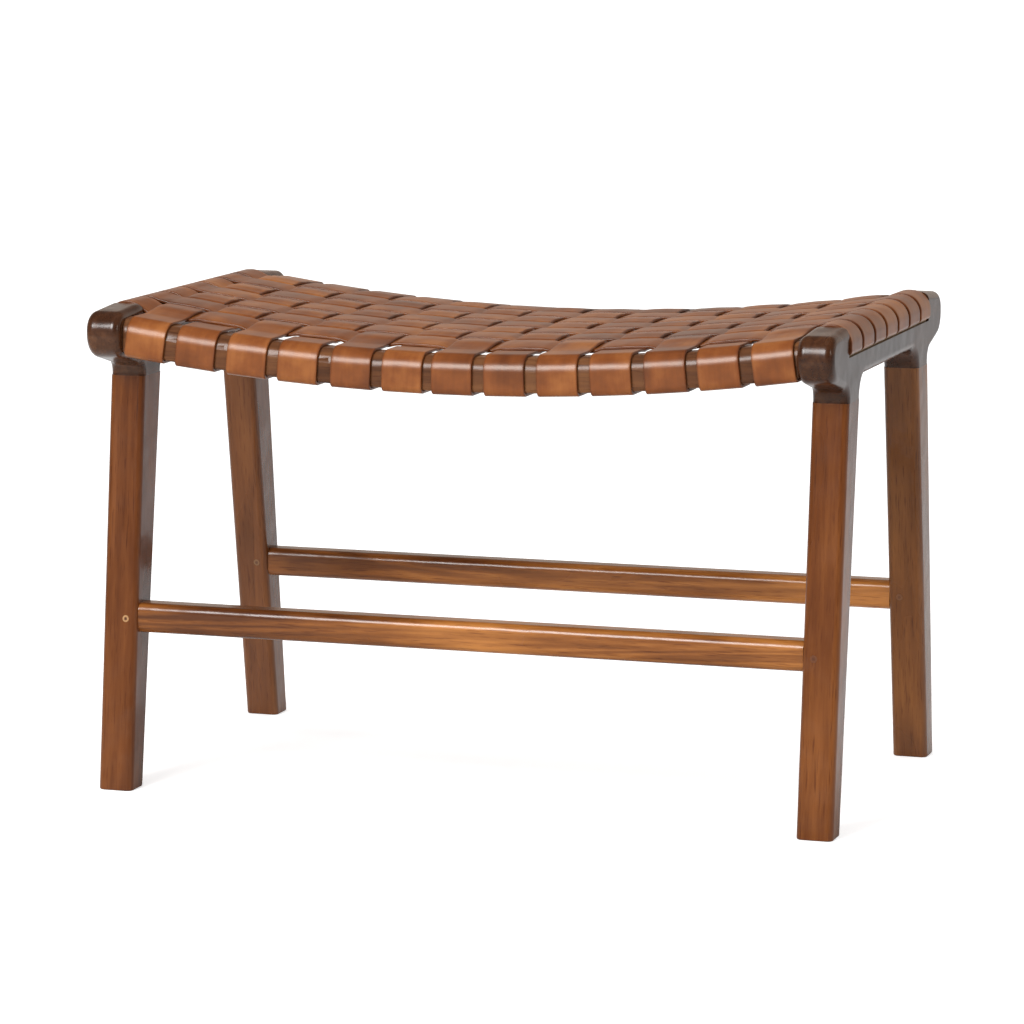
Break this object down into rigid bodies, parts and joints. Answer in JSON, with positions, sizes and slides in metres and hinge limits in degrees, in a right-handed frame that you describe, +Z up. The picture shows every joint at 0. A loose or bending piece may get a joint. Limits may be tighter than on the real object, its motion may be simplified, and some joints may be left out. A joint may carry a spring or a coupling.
{
  "type": "woven leather stool",
  "caption": "Low saddle-seat stool of dark hardwood: two end frames with rounded knobs, two stretchers and a seat of wide leather straps woven both ways over bowed rails.",
  "frame": {"origin": "on the floor under the middle of the stool", "axes": "+Z up, +X along the stool's longer side, from the left end frame to the right one; -Y is the front"},
  "size_m": [0.662, 0.4, 0.424],
  "materials": {
    "dark_wood": "dark brown hardwood, gloss lacquer",
    "leg_wood": "reddish brown hardwood with visible grain, gloss lacquer",
    "stretcher_wood": "golden brown hardwood with fine grain, gloss lacquer",
    "peg_wood": "end grain, gloss lacquer",
    "raw_wood": "bare wood, hidden in the joints",
    "strap_leather": "waxed tan leather, satin, dark cut edges",
    "tack_metal": "antique brass tack heads"
  },
  "bodies": {
    "root": {"end_rail_left": "dark_wood", "end_rail_right": "dark_wood", "leg_front_left": "leg_wood", "leg_front_right": "leg_wood", "leg_back_left": "leg_wood", "leg_back_right": "leg_wood", "stretcher_front": "stretcher_wood", "stretcher_back": "stretcher_wood", "seat_rail_front": "dark_wood", "seat_rail_back": "dark_wood", "short_strap_01": "strap_leather", "short_strap_02": "strap_leather", "short_strap_03": "strap_leather", "short_strap_04": "strap_leather", "short_strap_05": "strap_leather", "short_strap_06": "strap_leather", "short_strap_07": "strap_leather", "short_strap_08": "strap_leather", "short_strap_09": "strap_leather", "short_strap_10": "strap_leather", "short_strap_11": "strap_leather", "short_strap_12": "strap_leather", "short_strap_13": "strap_leather", "long_strap_1": "strap_leather", "long_strap_2": "strap_leather", "long_strap_3": "strap_leather", "long_strap_4": "strap_leather", "long_strap_5": "strap_leather", "long_strap_6": "strap_leather", "long_strap_7": "strap_leather", "tenon_peg_front_left": "peg_wood", "tenon_peg_front_right": "peg_wood", "tenon_peg_back_left": "peg_wood", "tenon_peg_back_right": "peg_wood", "leg_dowels_front_left": "raw_wood", "leg_dowels_front_right": "raw_wood", "leg_dowels_back_left": "raw_wood", "leg_dowels_back_right": "raw_wood", "slot_spline_left": "raw_wood", "slot_spline_right": "raw_wood", "tacks_front": "tack_metal", "tacks_back": "tack_metal"}
  },
  "joints": []
}
